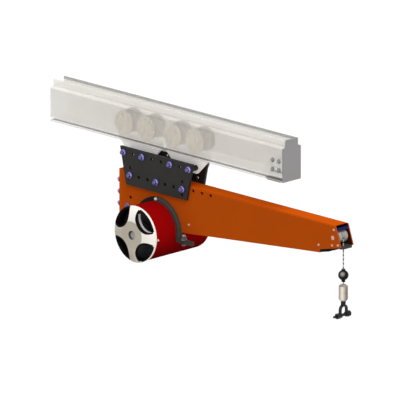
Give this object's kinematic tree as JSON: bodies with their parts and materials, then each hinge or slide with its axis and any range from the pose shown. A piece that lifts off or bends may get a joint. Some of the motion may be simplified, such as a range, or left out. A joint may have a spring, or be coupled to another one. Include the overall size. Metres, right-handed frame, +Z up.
{
  "type": "rail-hung trolley jib",
  "caption": "Trolley jib on an enclosed overhead rail: a tapered box arm bolted under the trolley carries a drum balancer and leads its rope to a swivel clevis.",
  "frame": {"origin": "on the floor of the rail's top channel, at the middle of its length and width, where the hangers bolt on", "axes": "+X along the rail towards the arm's tip, +Y across it away from the balancer's windowed cap, +Z up out of the channel"},
  "size_m": [1.484, 0.313, 0.618],
  "materials": {
    "rail": null,
    "trolley_metal": "pale grey",
    "end_cap": "matte grey",
    "wheel": "satin",
    "black_plate": "satin black",
    "orange_paint": "semi-gloss orange",
    "saddle": "satin dark grey",
    "red_paint": "gloss red",
    "cast_cap": "satin",
    "dark_flange": "dark",
    "bright_metal": "satin",
    "blue_zinc": "dark blue",
    "black_plastic": "matte",
    "wire_rope": "stranded wire",
    "black_oxide": "satin black"
  },
  "bodies": {
    "rail": {"rail_extrusion": "rail", "rail_end_cap": "end_cap", "end_stop": "end_cap"},
    "trolley": {"left_web": "trolley_metal", "right_web": "trolley_metal", "wheel_axles": "trolley_metal", "near_spacers": "black_plate", "far_spacers": "black_plate", "near_side_plate": "black_plate", "far_side_plate": "black_plate", "arm_near_side": "orange_paint", "arm_far_side": "orange_paint", "arm_top_plate": "orange_paint", "arm_rear_cover": "orange_paint", "arm_rear_bottom": "orange_paint", "arm_front_bottom": "orange_paint", "arm_tip_bottom": "orange_paint", "near_saddle": "saddle", "far_saddle": "saddle", "balancer_tube": "red_paint", "balancer_end_cap": "cast_cap", "balancer_inner_flange": "dark_flange", "balancer_inner_ring": "bright_metal", "balancer_rear_cover": "red_paint", "sheave_axle": "bright_metal", "tip_guard": "blue_zinc", "rope_guide": "black_plastic", "tip_pads": "black_plastic", "rope_run": "wire_rope"},
    "wheel_1_near": {"wheel_1_near": "wheel"},
    "wheel_1_far": {"wheel_1_far": "wheel"},
    "wheel_2_near": {"wheel_2_near": "wheel"},
    "wheel_2_far": {"wheel_2_far": "wheel"},
    "wheel_3_near": {"wheel_3_near": "wheel"},
    "wheel_3_far": {"wheel_3_far": "wheel"},
    "wheel_4_near": {"wheel_4_near": "wheel"},
    "wheel_4_far": {"wheel_4_far": "wheel"},
    "sheave": {"tip_sheave": "bright_metal"},
    "hook": {"rope_drop": "wire_rope", "ball_stop": "black_plastic", "swivel_barrel": "bright_metal"},
    "swivel": {"clevis": "black_oxide", "clevis_pin": "black_oxide", "clevis_nut": "black_oxide"}
  },
  "joints": [
    {"name": "trolley_travel", "type": "slide", "parent": "rail", "child": "trolley", "axis": [1, 0, 0], "range_m": [-0.285, 0.285]},
    {"name": "wheel_1_near_spin", "type": "hinge", "parent": "trolley", "child": "wheel_1_near", "pos_m": [-0.236, 0, -0.0735], "axis": [0, 1, 0], "continuous": true},
    {"name": "wheel_1_far_spin", "type": "hinge", "parent": "trolley", "child": "wheel_1_far", "pos_m": [-0.236, 0, -0.0735], "axis": [0, 1, 0], "continuous": true},
    {"name": "wheel_2_near_spin", "type": "hinge", "parent": "trolley", "child": "wheel_2_near", "pos_m": [-0.121, 0, -0.0735], "axis": [0, 1, 0], "continuous": true},
    {"name": "wheel_2_far_spin", "type": "hinge", "parent": "trolley", "child": "wheel_2_far", "pos_m": [-0.121, 0, -0.0735], "axis": [0, 1, 0], "continuous": true},
    {"name": "wheel_3_near_spin", "type": "hinge", "parent": "trolley", "child": "wheel_3_near", "pos_m": [0.015, 0, -0.0735], "axis": [0, 1, 0], "continuous": true},
    {"name": "wheel_3_far_spin", "type": "hinge", "parent": "trolley", "child": "wheel_3_far", "pos_m": [0.015, 0, -0.0735], "axis": [0, 1, 0], "continuous": true},
    {"name": "wheel_4_near_spin", "type": "hinge", "parent": "trolley", "child": "wheel_4_near", "pos_m": [0.13, 0, -0.0735], "axis": [0, 1, 0], "continuous": true},
    {"name": "wheel_4_far_spin", "type": "hinge", "parent": "trolley", "child": "wheel_4_far", "pos_m": [0.13, 0, -0.0735], "axis": [0, 1, 0], "continuous": true},
    {"name": "sheave_spin", "type": "hinge", "parent": "trolley", "child": "sheave", "pos_m": [0.84, 0, -0.296], "axis": [0, 1, 0], "continuous": true},
    {"name": "hook_lift", "type": "slide", "parent": "trolley", "child": "hook", "axis": [0, 0, -1], "range_m": [-0.065, 1.935], "deforming": ["rope_drop"]},
    {"name": "swivel_turn", "type": "hinge", "parent": "hook", "child": "swivel", "pos_m": [0.861, 0, -0.55], "axis": [0, 0, 1], "continuous": true}
  ],
  "couplings": [
    {"joint": "wheel_1_near_spin", "follows": "trolley_travel", "rad_per_m": 22.222},
    {"joint": "wheel_1_far_spin", "follows": "trolley_travel", "rad_per_m": 22.222},
    {"joint": "wheel_2_near_spin", "follows": "trolley_travel", "rad_per_m": 22.222},
    {"joint": "wheel_2_far_spin", "follows": "trolley_travel", "rad_per_m": 22.222},
    {"joint": "wheel_3_near_spin", "follows": "trolley_travel", "rad_per_m": 22.222},
    {"joint": "wheel_3_far_spin", "follows": "trolley_travel", "rad_per_m": 22.222},
    {"joint": "wheel_4_near_spin", "follows": "trolley_travel", "rad_per_m": 22.222},
    {"joint": "wheel_4_far_spin", "follows": "trolley_travel", "rad_per_m": 22.222},
    {"joint": "sheave_spin", "follows": "hook_lift", "rad_per_m": 47.619}
  ]
}
